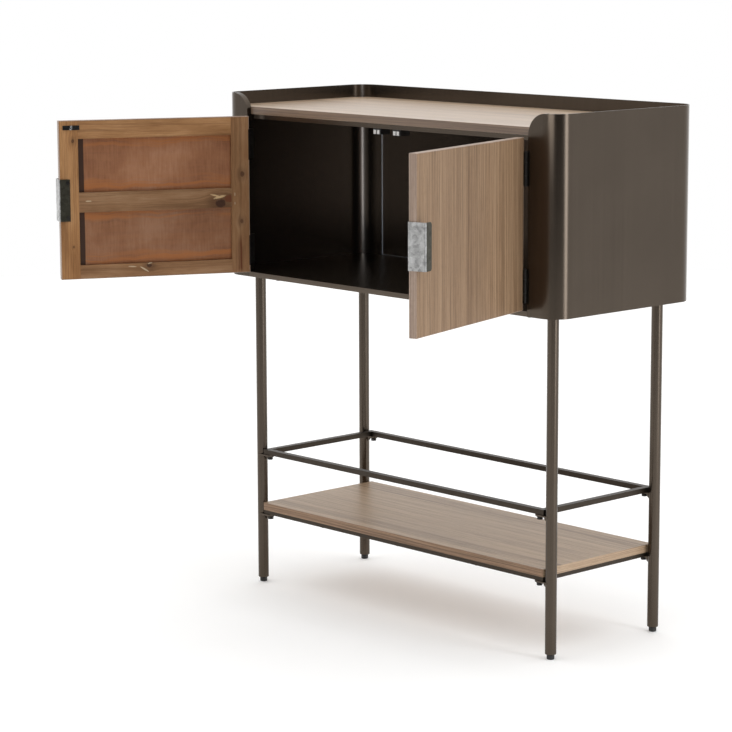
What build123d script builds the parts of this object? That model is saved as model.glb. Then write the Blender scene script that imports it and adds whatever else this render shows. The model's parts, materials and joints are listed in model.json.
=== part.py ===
"""Two-door buffet cabinet in bent sheet metal and wood on a slim four-leg stand.

Millimetres.  X runs along the length, the doors face -Y, +Z is up, and the origin is on the floor
midway between the four feet.  The doors are stored open, at the angles named below.
"""

import os

from build123d import *

# ---- overall size
width = 914.0
shell_depth = 379.0
height = 1006.0
cabinet_bottom = 640.0

# ---- sheet-metal shell
sheet = 2.0
corner_radius = 38.0
return_edge_x = 386.0
return_arc_radius = 40.0
flange_depth = 12.0
jamb_depth = 15.0
window_half_width = 398.0
weld_gap = 0.2

# ---- wood top, top plate, floor
wood_thickness = 15.0
gallery_height = 26.0
wood_setback = 8.0
wood_clearance = 0.6
lip_height = 7.5
lip_setback = 16.0
floor_lip_height = 10.0
tray_flange = 12.0

# ---- back panel
back_sheet = 1.5
back_overlap = 14.0

# ---- legs and feet
leg_diameter = 21.4
leg_wall = 1.6
leg_x = 406.0
leg_y = 142.0
leg_lift = 9.5
leg_plate = 3.0
foot_diameter = 14.7
foot_gap = 0.3
stud_radius = 4.0
stud_clearance = 0.08
plug_length = 20.0
plug_fit = 0.05

# ---- upper rail frame and shelf
bar_width = 12.7
rail_bar_height = 10.0
shelf_bar_height = 8.0
frame_to_leg = 2.1
frame_beyond_leg_line = 8.5
rail_top = 279.7
shelf_top = 168.6
shelf_overhang = 0.8
tab_thickness = 3.0
tab_width = 18.0
bolt_inward = 27.0
bolt_shank_radius = 3.0
bolt_head_radius = 5.6
bolt_head_height = 5.5
washer_thickness = 1.4
hole_clearance = 0.1

# ---- leg plate bolts and floor channels
plate_reach = 75.0
plate_outward = 18.0
plate_half_width = 20.0
plate_bolt_inward = 57.0
plate_bolt_along_y = 40.0
channel_sheet = 2.0

# ---- doors
door_thickness = 14.6
skin_thickness = 3.0
edge_band = 1.0
door_floor_gap = 1.5
door_top_gap = 2.5
centre_gap = 5.2
hinge_stile = 36.5
free_stile = 37.5
top_rail_height = 36.0
bottom_rail_height = 27.0
mid_rail_height = 39.0
lower_panel_height = 104.0
panel_thickness = 4.6
left_open_degrees = 116.0
right_open_degrees = 106.0

# ---- butt hinges
hinge_height = 60.0
hinge_below_top = 26.0
hinge_above_bottom = 14.0
leaf_thickness = 2.0
leaf_gap = 0.4
door_leaf_proud = 0.4
pin_proud = 3.4
pin_radius = 1.5
knuckle_radius = 3.0
pin_clearance = 0.05
knuckle_gap = 0.3
middle_knuckle = 24.0
knuckle_relief = 0.35
hinge_screw_radius = 1.6
hinge_head_radius = 3.0
hinge_head_depth = 1.3
hinge_head_sunk = 0.1
hinge_screw_inset = 10.0
hinge_nut_radius = 3.2
hinge_nut_depth = 3.0
door_screw_length = 15.0

# ---- handle
handle_height = 82.2
handle_sheet = 1.8
handle_leg = 21.8
handle_screw_inset = 4.3
handle_lip = 20.0
handle_projection = 19.0
handle_bend = 2.6

# ---- catches and strikes
catch_x = 27.0
catch_width = 21.0
catch_depth = 24.0
pole_width = 7.4
pole_height = 8.0
pole_bottom = 944.6
strike_width = 33.0
strike_height = 8.6
strike_thickness = 1.2
catch_air_gap = 0.4

# ---- values that follow
half_width = width / 2
half_depth = shell_depth / 2
front = -half_depth
rear = half_depth
wood_top_z = height - gallery_height
wood_bottom_z = wood_top_z - wood_thickness
plate_bottom_z = wood_bottom_z - sheet
lip_bottom_z = plate_bottom_z - lip_height
floor_top_z = cabinet_bottom + floor_lip_height
door_bottom_z = floor_top_z + door_floor_gap
door_top_z = wood_bottom_z - door_top_gap
door_height = door_top_z - door_bottom_z
lip_y = front + lip_setback
leg_radius = leg_diameter / 2
frame_x = leg_x - leg_radius - frame_to_leg
frame_y = leg_y + frame_beyond_leg_line
bolt_x = leg_x - bolt_inward
bolt_y = frame_y - bar_width / 2
rail_bottom = rail_top - rail_bar_height
shelf_bottom = shelf_top - wood_thickness
shelf_frame_bottom = shelf_bottom - shelf_bar_height
cabinet_leaf_inner = return_edge_x - leaf_thickness
door_leaf_outer = cabinet_leaf_inner - leaf_gap
pin_x = (cabinet_leaf_inner + door_leaf_outer) / 2
pin_y = front - pin_proud
door_hinge_x = door_leaf_outer - door_leaf_proud
door_free_x = centre_gap / 2
door_inner_y = front + door_thickness
handle_bottom_z = (door_bottom_z + door_top_z - handle_height) / 2
countersink_slope = (hinge_head_radius - hinge_screw_radius) / hinge_head_depth
hinge_hole_slack = hole_clearance + hinge_head_sunk * countersink_slope

nodes = {}


def box(x0, x1, y0, y1, z0, z1):
    """Block between two corners."""
    block = Box(x1 - x0, y1 - y0, z1 - z0)
    return Pos((x0 + x1) / 2, (y0 + y1) / 2, (z0 + z1) / 2) * block


def rod(x, y, z0, z1, radius):
    """Upright cylinder."""
    return Pos(x, y, (z0 + z1) / 2) * Cylinder(radius, z1 - z0)


def rod_y(x, z, y0, y1, radius):
    """Cylinder lying along Y."""
    turned = Rot(90, 0, 0) * Cylinder(radius, y1 - y0)
    return Pos(x, (y0 + y1) / 2, z) * turned


def rod_x(y, z, x0, x1, radius):
    """Cylinder lying along X."""
    turned = Rot(0, 90, 0) * Cylinder(radius, x1 - x0)
    return Pos((x0 + x1) / 2, y, z) * turned


def countersunk(face_x, point, y, z, length, slack=0.0):
    """Countersunk screw along X from its head's face, pointing to +X or -X; slack makes it a hole."""
    head_x = face_x + point * hinge_head_depth / 2
    cone = Cone(hinge_head_radius + slack, hinge_screw_radius + slack, hinge_head_depth)
    head = Pos(head_x, y, z) * (Rot(0, 90 * point, 0) * cone)
    start = face_x + point * hinge_head_depth * 0.9
    end = face_x + point * length
    return head + rod_x(y, z, min(start, end), max(start, end), hinge_screw_radius + slack)


def hexagon(x, y, z0, z1, radius):
    """Upright hexagonal block, radius across its corners."""
    outline = Pos(x, y, z0) * RegularPolygon(radius, 6)
    return extrude(outline, amount=z1 - z0)


def round_block(half_x, half_y, radius, z0, z1):
    """Upright block with rounded upright corners, centred on the axis."""
    outline = Pos(0, 0, z0) * RectangleRounded(2 * half_x, 2 * half_y, radius)
    return extrude(outline, amount=z1 - z0)


def inside_shell(gap, z0, z1):
    """Block that fills the shell less a gap all round."""
    inset = sheet + gap
    return round_block(half_width - inset, half_depth - inset, corner_radius - inset, z0, z1)


def mirrored(shape):
    """Mirror image across the middle of the length."""
    return mirror(shape, about=Plane.YZ)


def four(make):
    """Copies of a piece made for the front right corner, at all four corners."""
    front_right = make()
    front_left = mirror(front_right, about=Plane.YZ)
    rear_right = mirror(front_right, about=Plane.XZ)
    rear_left = mirror(front_left, about=Plane.XZ)
    return [front_left, front_right, rear_left, rear_right]


def joined(shapes):
    """Several solids kept in one node."""
    return Compound(children=list(shapes))


# ---- shell
def shell_half():
    """Right half of the wrapped shell: side, bent corners, front return with its flange, rear."""
    outer = round_block(half_width, half_depth, corner_radius, cabinet_bottom, height)
    hollow = inside_shell(0, cabinet_bottom - 1, height + 1)
    wall = outer - hollow
    wall -= box(-return_edge_x, return_edge_x, front - 1, 0, cabinet_bottom - 1, height + 1)
    window_top = lip_bottom_z - sheet
    wall -= box(-window_half_width, window_half_width, 0, rear + 1, floor_top_z + 1, window_top)
    arc_x = return_edge_x + return_arc_radius
    arc_z = height - return_arc_radius
    corner = box(return_edge_x, arc_x, front - 1, front + 25, arc_z, height + 1)
    corner -= rod_y(arc_x, arc_z, front - 2, front + 26, return_arc_radius)
    wall -= corner
    ring = rod_y(arc_x, arc_z, front, front + flange_depth, return_arc_radius)
    ring -= rod_y(arc_x, arc_z, front - 1, front + flange_depth + 1, return_arc_radius - sheet)
    ring &= box(return_edge_x, arc_x, front, front + flange_depth, arc_z, height)
    ring &= outer
    upright = box(return_edge_x, return_edge_x + sheet, front, front + flange_depth, cabinet_bottom, arc_z)
    jamb_top = wood_bottom_z - sheet - 1
    jamb = box(return_edge_x, return_edge_x + sheet, front, front + jamb_depth, cabinet_bottom, jamb_top)
    wall = wall & box(0, half_width + 1, front - 1, rear + 1, cabinet_bottom - 1, height + 1)
    return wall + ring + upright + jamb


# ---- where the hinges and their screws sit
hinge_ranges = [
    (door_bottom_z + hinge_above_bottom, door_bottom_z + hinge_above_bottom + hinge_height),
    (door_top_z - hinge_below_top - hinge_height, door_top_z - hinge_below_top),
]
hinge_screw_y = front + door_thickness / 2
hinge_screw_heights = []
for low, high in hinge_ranges:
    hinge_screw_heights += [low + hinge_screw_inset, (low + high) / 2, high - hinge_screw_inset]
cabinet_screw_length = leaf_thickness + sheet + hinge_nut_depth

shell = shell_half()
for height_z in hinge_screw_heights:
    shell -= countersunk(cabinet_leaf_inner, 1, hinge_screw_y, height_z, cabinet_screw_length, hinge_hole_slack)
nodes["shell_right"] = shell
nodes["shell_left"] = mirrored(shell)

# ---- back panel and its screws
panel_half = window_half_width + back_overlap
panel_low = cabinet_bottom + 3
panel_high = wood_bottom_z - 1
back = box(-panel_half, panel_half, rear, rear + back_sheet, panel_low, panel_high)
back_screws = []
screw_line_x = window_half_width + back_overlap / 2
for across in (-screw_line_x, screw_line_x):
    for up in (0.08, 0.36, 0.64, 0.92):
        screw_z = panel_low + up * (panel_high - panel_low)
        hole = rod_y(across, screw_z, rear - 1, rear + back_sheet + 1, 2.0 + hole_clearance)
        back -= hole
        head = rod_y(across, screw_z, rear + back_sheet, rear + back_sheet + 1.8, 4.0)
        shank = rod_y(across, screw_z, rear + 0.1, rear + back_sheet, 2.0)
        back_screws.append(head + shank)
nodes["back_panel"] = back
nodes["back_screws"] = joined(back_screws)

# ---- top plate with its lip and turned-down edges
top_plate = inside_shell(weld_gap, plate_bottom_z, wood_bottom_z)
edge_ring = inside_shell(weld_gap, plate_bottom_z - tray_flange, plate_bottom_z)
edge_ring -= inside_shell(weld_gap + sheet, plate_bottom_z - tray_flange - 1, plate_bottom_z)
edge_ring -= box(-half_width, half_width, front - 1, lip_y + 30, 0, height)
ahead_of_lip = box(-half_width, half_width, front - 1, lip_y, 0, height)
lip = inside_shell(weld_gap, lip_bottom_z, plate_bottom_z)
lip &= box(-half_width, half_width, lip_y, lip_y + sheet, 0, height)
nodes["top_plate"] = (top_plate - ahead_of_lip) + edge_ring + lip

# ---- wood top, notched round the shell's flanges
board_front = front + flange_depth + 1
board = inside_shell(wood_clearance, wood_bottom_z, wood_top_z)
board -= box(-half_width, half_width, front - 1, board_front, 0, height)
tongue_x = return_edge_x - 1
tongue = box(-tongue_x, tongue_x, front + wood_setback, board_front, wood_bottom_z, wood_top_z)
nodes["wood_top"] = board + tongue

# ---- floor pan with its front lip and turned-down edges
pan = inside_shell(weld_gap, floor_top_z - sheet, floor_top_z)
pan -= box(return_edge_x - 0.3, half_width, front - 1, front + jamb_depth + 0.3, 0, height)
pan -= box(-half_width, -return_edge_x + 0.3, front - 1, front + jamb_depth + 0.3, 0, height)
pan_x = return_edge_x - 0.3
pan += box(-pan_x, pan_x, front, front + sheet + weld_gap, floor_top_z - sheet, floor_top_z)
pan += box(-pan_x, pan_x, front, front + sheet, cabinet_bottom, floor_top_z)
pan_ring = inside_shell(weld_gap, cabinet_bottom, floor_top_z - sheet)
pan_ring -= inside_shell(weld_gap + sheet, cabinet_bottom - 1, floor_top_z - sheet)
pan_ring -= box(-half_width, half_width, front - 1, front + jamb_depth + 20, 0, height)
nodes["floor_pan"] = pan + pan_ring

# ---- channels under the floor, which carry the legs
channel_inner = leg_x - plate_reach
channel_outer = leg_x + plate_outward
channel_end = leg_y + plate_half_width + 6
channel_top = floor_top_z - sheet


def channel():
    """Shallow upright-sided channel, welded under the floor on the right."""
    tray = box(channel_inner, channel_outer, -channel_end, channel_end, cabinet_bottom, channel_top)
    low_x = channel_inner + channel_sheet
    high_x = channel_outer - channel_sheet
    tray -= box(low_x, high_x, -500, 500, cabinet_bottom + channel_sheet, channel_top + 1)
    for side_y in (-leg_y, leg_y):
        inward_y = side_y - plate_bolt_along_y if side_y > 0 else side_y + plate_bolt_along_y
        tray -= rod(leg_x - plate_bolt_inward, side_y, 0, height, bolt_shank_radius + hole_clearance)
        tray -= rod(leg_x, inward_y, 0, height, bolt_shank_radius + hole_clearance)
    return tray


nodes["floor_channel_right"] = channel()
nodes["floor_channel_left"] = mirrored(nodes["floor_channel_right"])

# ---- legs: tube, top plate and two welded tabs in one weldment
tab_end_x = bolt_x
leg_top_z = cabinet_bottom - leg_plate


def tab(top_z):
    """Round-ended tab on the front right leg that a frame corner rests on."""
    low_z = top_z - tab_thickness
    tab_y = -bolt_y
    plate = box(tab_end_x, leg_x, tab_y - tab_width / 2, tab_y + tab_width / 2, low_z, top_z)
    plate += rod(tab_end_x, tab_y, low_z, top_z, tab_width / 2)
    brace = box(leg_x - leg_radius - 7, leg_x, -leg_y - 1.5, -leg_y + 1.5, low_z - 9, low_z)
    slope = Pos(leg_x - leg_radius - 10, -leg_y, low_z - 10.5) * Rot(0, 40, 0) * Box(20, 8, 12)
    return plate + (brace - slope)


def leg():
    """Front right leg."""
    tube = rod(leg_x, -leg_y, leg_lift, leg_top_z, leg_radius)
    tube = chamfer(tube.edges().filter_by(GeomType.CIRCLE).sort_by(Axis.Z)[0], 0.8)
    plate_low_y = -leg_y - plate_half_width
    plate_high_y = -leg_y + plate_half_width
    plate = box(channel_inner, channel_outer, plate_low_y, plate_high_y, leg_top_z, cabinet_bottom)
    along = -leg_y + plate_bolt_along_y + 16
    plate += box(leg_x - 18, channel_outer, plate_low_y, along, leg_top_z, cabinet_bottom)
    piece = tube + plate + tab(rail_bottom) + tab(shelf_frame_bottom)
    piece -= rod(leg_x, -leg_y, leg_lift - 1, leg_top_z, leg_radius - leg_wall)
    hole = bolt_shank_radius + hole_clearance
    for low in (rail_bottom, shelf_frame_bottom):
        piece -= rod(bolt_x, -bolt_y, low - 20, low + 1, hole)
    piece -= rod(leg_x - plate_bolt_inward, -leg_y, leg_top_z - 1, cabinet_bottom + 1, hole)
    piece -= rod(leg_x, -leg_y + plate_bolt_along_y, leg_top_z - 1, cabinet_bottom + 1, hole)
    return piece


def plug():
    """Insert in the bottom of the front right leg, bored for the foot's stud."""
    body = rod(leg_x, -leg_y, leg_lift, leg_lift + plug_length, leg_radius - leg_wall - plug_fit)
    bore = rod(leg_x, -leg_y, leg_lift - 1, leg_lift + plug_length + 1, stud_radius + stud_clearance)
    return body - bore


def foot():
    """Levelling foot of the front right leg: pad, flange and stud."""
    pad_top = leg_lift - foot_gap
    pad = rod(leg_x, -leg_y, 0, pad_top, foot_diameter / 2)
    pad = chamfer(pad.edges().filter_by(GeomType.CIRCLE), 0.9)
    stud = rod(leg_x, -leg_y, pad_top - 1, pad_top + 28, stud_radius)
    return pad + stud


corner_names = ["front_left", "front_right", "rear_left", "rear_right"]
for name, shape in zip(corner_names, four(leg)):
    nodes["leg_" + name] = shape
for name, shape in zip(corner_names, four(foot)):
    nodes["foot_" + name] = shape
nodes["leg_plugs"] = joined(four(plug))


def plate_bolts():
    """Two bolts and nuts that hold the front right leg to its channel."""
    places = [(leg_x - plate_bolt_inward, -leg_y), (leg_x, -leg_y + plate_bolt_along_y)]
    bolts = []
    for x, y in places:
        head = hexagon(x, y, leg_top_z - 6.5, leg_top_z, bolt_head_radius)
        shank = rod(x, y, leg_top_z - 1, channel_top - 1, bolt_shank_radius)
        web_top = cabinet_bottom + channel_sheet
        nut = hexagon(x, y, web_top, web_top + 4.5, bolt_head_radius)
        bolts.append(head + shank + nut)
    return joined(bolts)


nodes["leg_bolts"] = joined([bolt for corner in four(plate_bolts) for bolt in corner.solids()])

# ---- upper rail frame, shelf frame and wood shelf
def bar_frame(low_z, high_z):
    """Welded rectangle of flat bar, with holes for its corner bolts."""
    ring = round_block(frame_x, frame_y, 1.5, low_z, high_z)
    ring -= box(-frame_x + bar_width, frame_x - bar_width, -frame_y + bar_width, frame_y - bar_width,
                low_z - 1, high_z + 1)
    for x in (-bolt_x, bolt_x):
        for y in (-bolt_y, bolt_y):
            ring -= rod(x, y, low_z - 1, high_z - 1, bolt_shank_radius + hole_clearance)
    return ring


nodes["upper_rail"] = bar_frame(rail_bottom, rail_top)
shelf_frame = bar_frame(shelf_frame_bottom, shelf_bottom)
shelf_board = round_block(frame_x + shelf_overhang, frame_y + shelf_overhang, 2.0, shelf_bottom, shelf_top)
shelf_screws = []
for x in (-frame_x * 0.55, 0.0, frame_x * 0.55):
    for y in (-bolt_y, bolt_y):
        shelf_frame -= rod(x, y, shelf_frame_bottom - 1, shelf_bottom + 1, 2.0 + hole_clearance)
        shelf_board -= rod(x, y, shelf_bottom - 1, shelf_bottom + 9, 2.0 + hole_clearance)
        head = rod(x, y, shelf_frame_bottom - 1.6, shelf_frame_bottom, 3.8)
        shelf_screws.append(head + rod(x, y, shelf_frame_bottom, shelf_bottom + 8.5, 2.0))
nodes["shelf_frame"] = shelf_frame
nodes["wood_shelf"] = shelf_board
nodes["shelf_screws"] = joined(shelf_screws)


def frame_bolts():
    """The bolts with washers under the two front right frame corners."""
    bolts = []
    for seat, bar in ((rail_bottom, rail_bar_height), (shelf_frame_bottom, shelf_bar_height)):
        tab_low = seat - tab_thickness
        washer_low = tab_low - washer_thickness
        washer = rod(bolt_x, -bolt_y, washer_low, tab_low, bolt_head_radius + 1.6)
        head = hexagon(bolt_x, -bolt_y, washer_low - bolt_head_height, washer_low, bolt_head_radius)
        shank = rod(bolt_x, -bolt_y, washer_low, seat + bar - 1.5, bolt_shank_radius)
        bolts.append(washer + head + shank)
    return joined(bolts)


nodes["frame_bolts"] = joined([bolt for corner in four(frame_bolts) for bolt in corner.solids()])

# ---- catches under the top plate
catch_front = lip_y + sheet + 0.1
pole_front = door_inner_y + strike_thickness + catch_air_gap


def catch():
    """Right-hand catch housing."""
    low = pole_bottom - 1.0
    left = catch_x - catch_width / 2
    right = catch_x + catch_width / 2
    body = box(left, right, catch_front, catch_front + catch_depth, low, plate_bottom_z)
    for side in (-1, 1):
        x = catch_x + side * (pole_width / 2 + 1.0)
        body -= box(x - pole_width / 2, x + pole_width / 2, catch_front - 1, catch_front + 6,
                    pole_bottom, pole_bottom + pole_height)
    return body


nodes["catch_right"] = catch()
nodes["catch_left"] = mirrored(nodes["catch_right"])
poles = []
for centre in (-catch_x, catch_x):
    for side in (-1, 1):
        x = centre + side * (pole_width / 2 + 1.0)
        poles.append(box(x - pole_width / 2 + 0.1, x + pole_width / 2 - 0.1, pole_front,
                         catch_front + 5.9, pole_bottom + 0.1, pole_bottom + pole_height - 0.1))
nodes["catch_poles"] = joined(poles)

# ---- butt hinges
def knuckle_bands(low, high):
    """Heights of the cabinet's two knuckles and the door's middle one."""
    middle = (low + high) / 2
    door_low = middle - middle_knuckle / 2
    door_high = middle + middle_knuckle / 2
    outer = [(low, door_low - knuckle_gap), (door_high + knuckle_gap, high)]
    return outer, [(door_low, door_high)]


def leaf(x0, x1, point, low, high, own, other):
    """One leaf of a butt hinge with its knuckles; its screws point to +X or -X."""
    plate = box(x0, x1, pin_y, front + door_thickness - door_leaf_proud, low, high)
    face_x = x0 if point > 0 else x1
    for z in hinge_screw_heights:
        if low < z < high:
            plate -= countersunk(face_x, point, hinge_screw_y, z, 2 * leaf_thickness, hinge_hole_slack)
    for z0, z1 in other:
        plate -= rod(pin_x, pin_y, z0 - knuckle_gap, z1 + knuckle_gap, knuckle_radius + knuckle_relief)
    for z0, z1 in own:
        plate += rod(pin_x, pin_y, z0, z1, knuckle_radius)
    plate -= rod(pin_x, pin_y, low - 1, high + 1, pin_radius + pin_clearance)
    return plate


door_leaf_inner = door_leaf_outer - leaf_thickness
cabinet_leaves = []
door_leaves = []
pins = []
for low, high in hinge_ranges:
    outer_bands, middle_band = knuckle_bands(low, high)
    cabinet_leaves.append(leaf(cabinet_leaf_inner, return_edge_x, 1, low, high, outer_bands, middle_band))
    door_leaves.append(leaf(door_leaf_inner, door_leaf_outer, -1, low, high, middle_band, outer_bands))
    pin = rod(pin_x, pin_y, low - 0.6, high + 0.6, pin_radius)
    pin += rod(pin_x, pin_y, high + 0.05, high + 1.6, knuckle_radius - 0.6)
    pin += rod(pin_x, pin_y, low - 1.6, low - 0.05, knuckle_radius - 0.6)
    pins.append(pin)
cabinet_screws = []
for z in hinge_screw_heights:
    screw_face = cabinet_leaf_inner + hinge_head_sunk
    screw = countersunk(screw_face, 1, hinge_screw_y, z, cabinet_screw_length)
    nut_x = return_edge_x + sheet
    cabinet_screws.append(screw + rod_x(hinge_screw_y, z, nut_x, nut_x + hinge_nut_depth, hinge_nut_radius))
nodes["hinge_screws"] = joined(cabinet_screws + [mirrored(screw) for screw in cabinet_screws])
nodes["hinge_leaves_right"] = joined(cabinet_leaves)
nodes["hinge_pins_right"] = joined(pins)
nodes["hinge_leaves_left"] = mirrored(nodes["hinge_leaves_right"])
nodes["hinge_pins_left"] = mirrored(nodes["hinge_pins_right"])


# ---- door, drawn closed at the right-hand side
def mortises(shape):
    """Cuts the hinge leaves' recesses in a door piece."""
    for low, high in hinge_ranges:
        shape -= box(door_leaf_inner, door_hinge_x + 1, front - 1, door_inner_y + 1, low, high)
    return shape


def screw_holes(shape, places, radius, y0, y1):
    """Cuts holes along Y."""
    for x, z in places:
        shape -= rod_y(x, z, y0, y1, radius + hole_clearance)
    return shape


def door_pieces():
    """Every node of the right-hand door, closed."""
    pieces = {}
    x0 = door_free_x
    x1 = door_hinge_x
    z0 = door_bottom_z
    z1 = door_top_z
    y0 = front
    y1 = door_inner_y
    ix0 = x0 + edge_band
    ix1 = x1 - edge_band
    iz0 = z0 + edge_band
    iz1 = z1 - edge_band
    band = box(x0, x1, y0, y1, z0, z1) - box(ix0, ix1, y0 - 1, y1 + 1, iz0, iz1)
    pieces["edge_band"] = mortises(band)
    core_y = y0 + skin_thickness
    pieces["skin"] = mortises(box(ix0, ix1, y0, core_y, iz0, iz1))
    free_x = x0 + free_stile
    hinge_x = x1 - hinge_stile
    top_z = z1 - top_rail_height
    low_z = z0 + bottom_rail_height
    mid_low = low_z + lower_panel_height
    mid_high = mid_low + mid_rail_height
    handle_x = x0 - handle_sheet + handle_leg - handle_screw_inset
    handle_places = [(handle_x, handle_bottom_z + 7), (handle_x, handle_bottom_z + handle_height - 7)]
    strike_z = pole_bottom + pole_height / 2
    strike_place = [(catch_x, strike_z)]
    stile = box(ix0, free_x, core_y, y1, iz0, iz1)
    stile = screw_holes(stile, handle_places, 1.8, y1 - 9, y1 + 1)
    pieces["free_stile"] = stile
    stile = mortises(box(hinge_x, ix1, core_y, y1, iz0, iz1))
    door_screws = []
    for z in hinge_screw_heights:
        face_x = door_leaf_outer - hinge_head_sunk
        stile -= countersunk(door_leaf_outer, -1, hinge_screw_y, z, door_screw_length + 1, hinge_hole_slack)
        door_screws.append(countersunk(face_x, -1, hinge_screw_y, z, door_screw_length))
    pieces["hinge_stile"] = stile
    pieces["hinge_screws"] = joined(door_screws)
    pieces["top_rail"] = box(free_x, hinge_x, core_y, y1, top_z, iz1)
    pieces["middle_rail"] = box(free_x, hinge_x, core_y, y1, mid_low, mid_high)
    pieces["bottom_rail"] = box(free_x, hinge_x, core_y, y1, iz0, low_z)
    panel_y = core_y + panel_thickness
    pieces["upper_panel"] = box(free_x, hinge_x, core_y, panel_y, mid_high, top_z)
    pieces["lower_panel"] = box(free_x, hinge_x, core_y, panel_y, low_z, mid_low)
    pieces["free_stile"] = screw_holes(pieces["free_stile"], strike_place, 1.5, y1 - 7, y1 + 1)
    # handle: leg on the inner face, web across the edge, lip parallel to the outer face
    hx = x0 - handle_sheet
    hz0 = handle_bottom_z
    hz1 = handle_bottom_z + handle_height
    lip_front = y0 - handle_projection
    leg_back = y1 + handle_sheet
    bar = box(hx, hx + handle_leg, lip_front, leg_back, hz0, hz1)
    long_edges = bar.edges().filter_by(Axis.Z).group_by(Axis.X)[0]
    bar = fillet(long_edges, handle_bend)
    hollow = box(x0, hx + handle_leg + 1, lip_front + handle_sheet, y1, hz0 - 1, hz1 + 1)
    inner_edges = hollow.edges().filter_by(Axis.Z).group_by(Axis.X)[0].sort_by(Axis.Y)[0]
    hollow = fillet(inner_edges, handle_bend - handle_sheet)
    bar -= hollow
    bar -= box(hx + handle_lip, hx + handle_leg + 1, lip_front - 1, y0 - 1, hz0 - 1, hz1 + 1)
    lip_corners = [
        edge
        for edge in bar.edges().filter_by(Axis.Y)
        if abs(edge.center().X - hx - handle_lip) < 0.01 and edge.center().Y < y0
    ]
    bar = fillet(lip_corners, 5.0)
    pieces["handle"] = screw_holes(bar, handle_places, 1.8, y1 - 1, leg_back + 1)
    screws = []
    for x, z in handle_places:
        head = rod_y(x, z, leg_back, leg_back + 1.2, 3.4)
        screws.append(head + rod_y(x, z, y1 - 8.5, leg_back, 1.8))
    pieces["handle_screws"] = joined(screws)
    strike = box(catch_x - strike_width / 2, catch_x + strike_width / 2, y1, y1 + strike_thickness,
                 strike_z - strike_height / 2, strike_z + strike_height / 2)
    pieces["strike_plate"] = strike + rod_y(catch_x, strike_z, y1 - 6.5, y1 + 0.5, 1.5)
    pieces["hinge_leaves"] = joined(door_leaves)
    return pieces


def opened(shape, side, degrees):
    """Turns a closed door piece open about its pin; side is 1 on the right and -1 on the left."""
    piece = shape if side > 0 else mirrored(shape)
    at_origin = Pos(-side * pin_x, -pin_y, 0) * piece
    return Pos(side * pin_x, pin_y, 0) * (Rot(0, 0, side * degrees) * at_origin)


for piece_name, piece in door_pieces().items():
    nodes["door_right_" + piece_name] = opened(piece, 1, right_open_degrees)
    nodes["door_left_" + piece_name] = opened(piece, -1, left_open_degrees)

# ---- write one STEP file for each node
os.makedirs("parts", exist_ok=True)
for node_name, node_shape in sorted(nodes.items()):
    export_step(node_shape, "parts/" + node_name + ".step")
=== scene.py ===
"""Finishes of the two-door buffet cabinet: softened arrises, wood, coated metal and zinc, and its studio."""
import json
import math

import bmesh
import bpy
import numpy as np
from mathutils import Matrix, Vector


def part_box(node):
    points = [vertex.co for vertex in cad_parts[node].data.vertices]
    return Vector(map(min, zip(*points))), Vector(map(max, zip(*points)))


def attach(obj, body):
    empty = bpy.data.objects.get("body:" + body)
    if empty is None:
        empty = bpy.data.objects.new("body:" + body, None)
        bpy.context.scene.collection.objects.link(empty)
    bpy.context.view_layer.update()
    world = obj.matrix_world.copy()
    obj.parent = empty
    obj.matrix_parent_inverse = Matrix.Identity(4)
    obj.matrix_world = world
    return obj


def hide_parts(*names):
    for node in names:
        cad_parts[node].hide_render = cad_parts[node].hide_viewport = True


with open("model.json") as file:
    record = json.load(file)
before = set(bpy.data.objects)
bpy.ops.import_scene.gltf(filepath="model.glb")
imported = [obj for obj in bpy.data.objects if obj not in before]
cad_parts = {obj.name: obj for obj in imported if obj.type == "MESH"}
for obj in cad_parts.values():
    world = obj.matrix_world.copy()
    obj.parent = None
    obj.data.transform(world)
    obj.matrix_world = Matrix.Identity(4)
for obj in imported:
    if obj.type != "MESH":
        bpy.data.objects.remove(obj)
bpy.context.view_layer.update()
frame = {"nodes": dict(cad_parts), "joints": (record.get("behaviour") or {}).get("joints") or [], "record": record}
nodes = frame["nodes"]
record = frame["record"]
body_of = {name: body for body, names in record["behaviour"]["bodies"].items() for name in names}
hinge_of = {joint["child"]: joint for joint in frame["joints"] if joint["type"] == "hinge"}
SIDES = {"left": -1, "right": 1}
CORNERS = ("front_left", "front_right", "rear_left", "rear_right")


# ---- places worked out from the frame
def low(name):
    """Lowest corner of a CAD piece."""
    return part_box(name)[0]


def high(name):
    """Highest corner of a CAD piece."""
    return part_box(name)[1]


def to_door(side):
    """Turn and shift that take a point on the open door to its closed place, measured from the hinge pin."""
    joint = hinge_of["door_" + side]
    opened = math.radians(-joint["range_deg"][0]) * joint["axis"][2]
    unturn = Matrix.Rotation(-opened, 3, "Z")
    pin = Vector((joint["pos_m"][0], joint["pos_m"][1], 0.0))
    return -(unturn @ pin), -opened


def closed_span(name):
    """Nearest and farthest distance of a door piece from the hinge pin, measured along the closed door.

    Each point of the left door is turned back by the angle it stands open, and its X from the pin is kept.
    """
    mesh = nodes["door_left_" + name].data
    points = np.empty(3 * len(mesh.vertices))
    mesh.vertices.foreach_get("co", points)
    x, y = points.reshape(-1, 3).T[:2]
    shift, turn = to_door("left")
    reach = x * math.cos(turn) - y * math.sin(turn) + shift[0]
    return float(reach.min()), float(reach.max())


# Both doors are alike, so distances from the pin hold for the left and the right one.
DOOR_BOTTOM = low("door_left_edge_band")[2]
DOOR_REACH = closed_span("edge_band")[1]
FREE_STILE = closed_span("free_stile")[0]
RUB_OFFSET = 0.0005
STRIKE_MIDDLE = sum(closed_span("strike_plate")) / 2 + RUB_OFFSET

# Half width, foot and head of the opening in the shell's back, which the back panel closes.
SHELL_WINDOW = (0.398, 0.651, 0.9535)
FLANGE_FRONT = high("shell_left")[1] - 0.0034


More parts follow.
